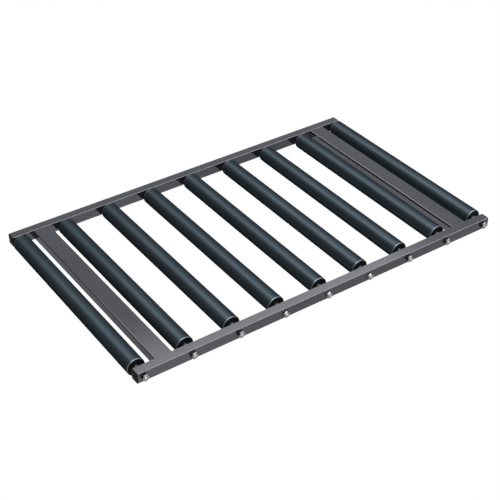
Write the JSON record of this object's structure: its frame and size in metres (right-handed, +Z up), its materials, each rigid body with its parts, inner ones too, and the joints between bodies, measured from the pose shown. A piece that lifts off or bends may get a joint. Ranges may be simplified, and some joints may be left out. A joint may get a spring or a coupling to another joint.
{
  "type": "flow rack roller track",
  "caption": "Gravity roller track: free-turning steel rollers on fixed axles, fastened between two box rails tied by cross tubes, for moving cartons and totes along a rack.",
  "frame": {"origin": "under the middle of the track, at the level of the rollers' lowest line", "axes": "+X along the rails, +Y along the rollers towards the rear rail, +Z up"},
  "size_m": [1.154, 0.725, 0.05],
  "materials": {
    "rail_paint": "semi-gloss dark grey paint",
    "member_paint": "semi-gloss dark grey paint",
    "cap_plastic": "fine moulded black plastic",
    "nut_zinc": "bright zinc plate",
    "axle_steel": "drawn bright steel",
    "clip_steel": "phosphated spring steel",
    "bearing_steel": "ground bearing steel",
    "ball_steel": "polished bearing steel",
    "roller_tube": "glossy dark teal-grey coating, bright at the rolled-in ends",
    "housing_plastic": "black moulded nylon",
    "seal_plastic": "black moulded plastic"
  },
  "bodies": {
    "frame": {"rail_front": "rail_paint", "rail_rear": "rail_paint", "end_cap_front_left": "cap_plastic", "end_cap_front_right": "cap_plastic", "end_cap_rear_left": "cap_plastic", "end_cap_rear_right": "cap_plastic", "cross_member_left": "member_paint", "cross_member_right": "member_paint", "axle_nuts_front": "nut_zinc", "axle_nuts_rear": "nut_zinc", "axles": "axle_steel", "axle_circlips": "clip_steel", "bearing_inner_rings": "bearing_steel"},
    "roller_1": {"roller_tube_1": "roller_tube", "bearing_housings_1": "housing_plastic", "bearing_outer_rings_1": "bearing_steel", "bearing_balls_1": "ball_steel", "dust_seals_1": "seal_plastic"},
    "roller_2": {"roller_tube_2": "roller_tube", "bearing_housings_2": "housing_plastic", "bearing_outer_rings_2": "bearing_steel", "bearing_balls_2": "ball_steel", "dust_seals_2": "seal_plastic"},
    "roller_3": {"roller_tube_3": "roller_tube", "bearing_housings_3": "housing_plastic", "bearing_outer_rings_3": "bearing_steel", "bearing_balls_3": "ball_steel", "dust_seals_3": "seal_plastic"},
    "roller_4": {"roller_tube_4": "roller_tube", "bearing_housings_4": "housing_plastic", "bearing_outer_rings_4": "bearing_steel", "bearing_balls_4": "ball_steel", "dust_seals_4": "seal_plastic"},
    "roller_5": {"roller_tube_5": "roller_tube", "bearing_housings_5": "housing_plastic", "bearing_outer_rings_5": "bearing_steel", "bearing_balls_5": "ball_steel", "dust_seals_5": "seal_plastic"},
    "roller_6": {"roller_tube_6": "roller_tube", "bearing_housings_6": "housing_plastic", "bearing_outer_rings_6": "bearing_steel", "bearing_balls_6": "ball_steel", "dust_seals_6": "seal_plastic"},
    "roller_7": {"roller_tube_7": "roller_tube", "bearing_housings_7": "housing_plastic", "bearing_outer_rings_7": "bearing_steel", "bearing_balls_7": "ball_steel", "dust_seals_7": "seal_plastic"},
    "roller_8": {"roller_tube_8": "roller_tube", "bearing_housings_8": "housing_plastic", "bearing_outer_rings_8": "bearing_steel", "bearing_balls_8": "ball_steel", "dust_seals_8": "seal_plastic"},
    "roller_9": {"roller_tube_9": "roller_tube", "bearing_housings_9": "housing_plastic", "bearing_outer_rings_9": "bearing_steel", "bearing_balls_9": "ball_steel", "dust_seals_9": "seal_plastic"}
  },
  "joints": [
    {"name": "roller_1_spin", "type": "hinge", "parent": "frame", "child": "roller_1", "pos_m": [-0.552, 0, 0.025], "axis": [0, 1, 0], "continuous": true},
    {"name": "roller_2_spin", "type": "hinge", "parent": "frame", "child": "roller_2", "pos_m": [-0.414, 0, 0.025], "axis": [0, 1, 0], "continuous": true},
    {"name": "roller_3_spin", "type": "hinge", "parent": "frame", "child": "roller_3", "pos_m": [-0.276, 0, 0.025], "axis": [0, 1, 0], "continuous": true},
    {"name": "roller_4_spin", "type": "hinge", "parent": "frame", "child": "roller_4", "pos_m": [-0.138, 0, 0.025], "axis": [0, 1, 0], "continuous": true},
    {"name": "roller_5_spin", "type": "hinge", "parent": "frame", "child": "roller_5", "pos_m": [0, 0, 0.025], "axis": [0, 1, 0], "continuous": true},
    {"name": "roller_6_spin", "type": "hinge", "parent": "frame", "child": "roller_6", "pos_m": [0.138, 0, 0.025], "axis": [0, 1, 0], "continuous": true},
    {"name": "roller_7_spin", "type": "hinge", "parent": "frame", "child": "roller_7", "pos_m": [0.276, 0, 0.025], "axis": [0, 1, 0], "continuous": true},
    {"name": "roller_8_spin", "type": "hinge", "parent": "frame", "child": "roller_8", "pos_m": [0.414, 0, 0.025], "axis": [0, 1, 0], "continuous": true},
    {"name": "roller_9_spin", "type": "hinge", "parent": "frame", "child": "roller_9", "pos_m": [0.552, 0, 0.025], "axis": [0, 1, 0], "continuous": true}
  ]
}
